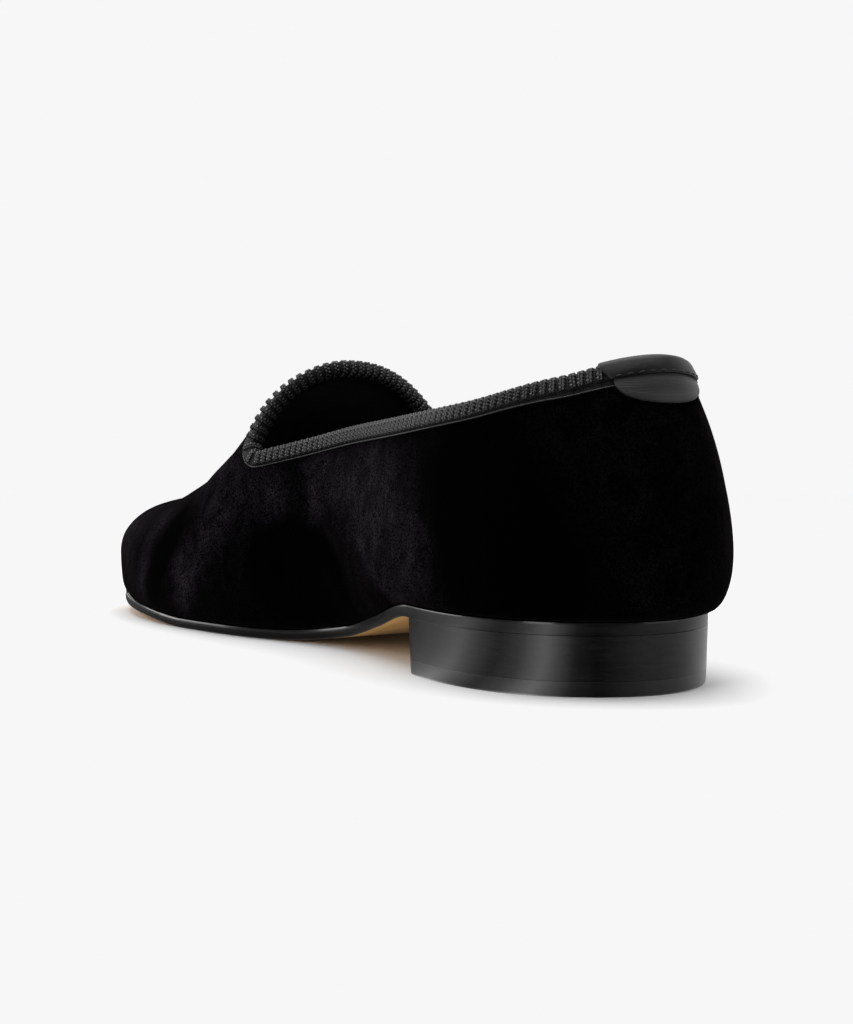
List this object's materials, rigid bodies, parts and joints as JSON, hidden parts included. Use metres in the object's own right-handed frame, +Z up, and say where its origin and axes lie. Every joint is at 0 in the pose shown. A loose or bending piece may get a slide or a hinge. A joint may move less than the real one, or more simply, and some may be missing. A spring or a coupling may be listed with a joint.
{
  "type": "velvet slipper loafer",
  "caption": "Right slip-on evening slipper with a velvet upper, ribbed topline binding over a low tongue, leather heel tab and a stacked leather heel.",
  "frame": {"origin": "middle of the shoe's footprint box, on the floor that it stands on", "axes": "+X towards the toe, +Y towards the inner side of the foot (the wearer's left), +Z up"},
  "size_m": [0.2924, 0.0944, 0.085],
  "materials": {
    "sole_leather": "black burnished edge, natural tan tread",
    "heel_leather": "polished",
    "top_piece_rubber": "satin",
    "velvet": "short pile",
    "insole_leather": "matte",
    "grosgrain": "coarse rib",
    "tab_leather": "smooth, semi-matte",
    "patch_leather": "fine grain, semi-matte"
  },
  "bodies": {
    "root": {"outsole": "sole_leather", "heel_stack": "heel_leather", "top_piece": "top_piece_rubber", "upper": "velvet", "insole": "insole_leather", "topline_binding": "grosgrain", "heel_tab": "tab_leather", "heel_tab_patch": "patch_leather"}
  },
  "joints": []
}
